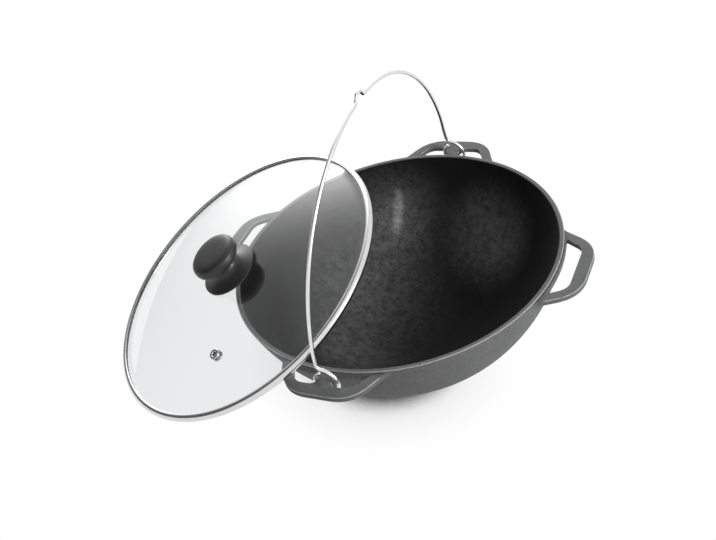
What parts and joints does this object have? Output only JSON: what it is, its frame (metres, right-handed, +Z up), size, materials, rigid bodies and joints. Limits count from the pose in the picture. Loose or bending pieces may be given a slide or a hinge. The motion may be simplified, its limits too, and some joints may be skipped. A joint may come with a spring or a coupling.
{
  "type": "cast iron cauldron",
  "caption": "Round-bottomed cast iron cauldron with rim ears and a swinging wire bail; its domed glass lid with a black knob leans against it.",
  "frame": {"origin": "middle of the footprint at floor level, with the pot tilted on its round bottom and the lid leaning on it as in the picture", "axes": "+Z up from the floor; +X level, straight under the plain grip ear at the right of the picture, along the longest extent; +Y away from the side the picture was taken from"},
  "size_m": [0.5224, 0.4372, 0.3388],
  "materials": {
    "cast_iron": "dark grey as-cast skin with a fine grain, rim ground to a lighter grey",
    "bail_steel": "bright drawn and plated wire",
    "band_steel": "polished stainless sheet",
    "glass": "clear tempered glass",
    "knob_plastic": "black moulded heatproof plastic, satin",
    "silicone": "grey silicone, matt",
    "brass": "turned brass",
    "zinc_steel": "zinc plated"
  },
  "bodies": {
    "pot": {"pot_casting": "cast_iron"},
    "bail": {"bail_wire": "bail_steel"},
    "lid": {"lid_glass": "glass", "lid_rim_band": "band_steel", "lid_rim_seal": "silicone", "knob_body": "knob_plastic", "knob_insert": "brass", "knob_screw": "zinc_steel", "knob_lock_washer": "zinc_steel", "knob_washer": "zinc_steel", "knob_seal_upper": "silicone", "knob_seal_lower": "silicone", "vent_eyelet": "band_steel", "vent_gasket": "silicone", "vent_washer": "band_steel"}
  },
  "joints": [
    {"name": "bail_swing", "type": "hinge", "parent": "pot", "child": "bail", "pos_m": [0.05235, 0.01168, 0.14012], "axis": [-0.0344, 0.9785, 0.2033], "range_deg": [-41, 84]},
    {"name": "lid_lift", "type": "slide", "parent": "pot", "child": "lid", "axis": [-0.4075, -0.4447, 0.7976], "range_m": [0, 0.3]}
  ]
}
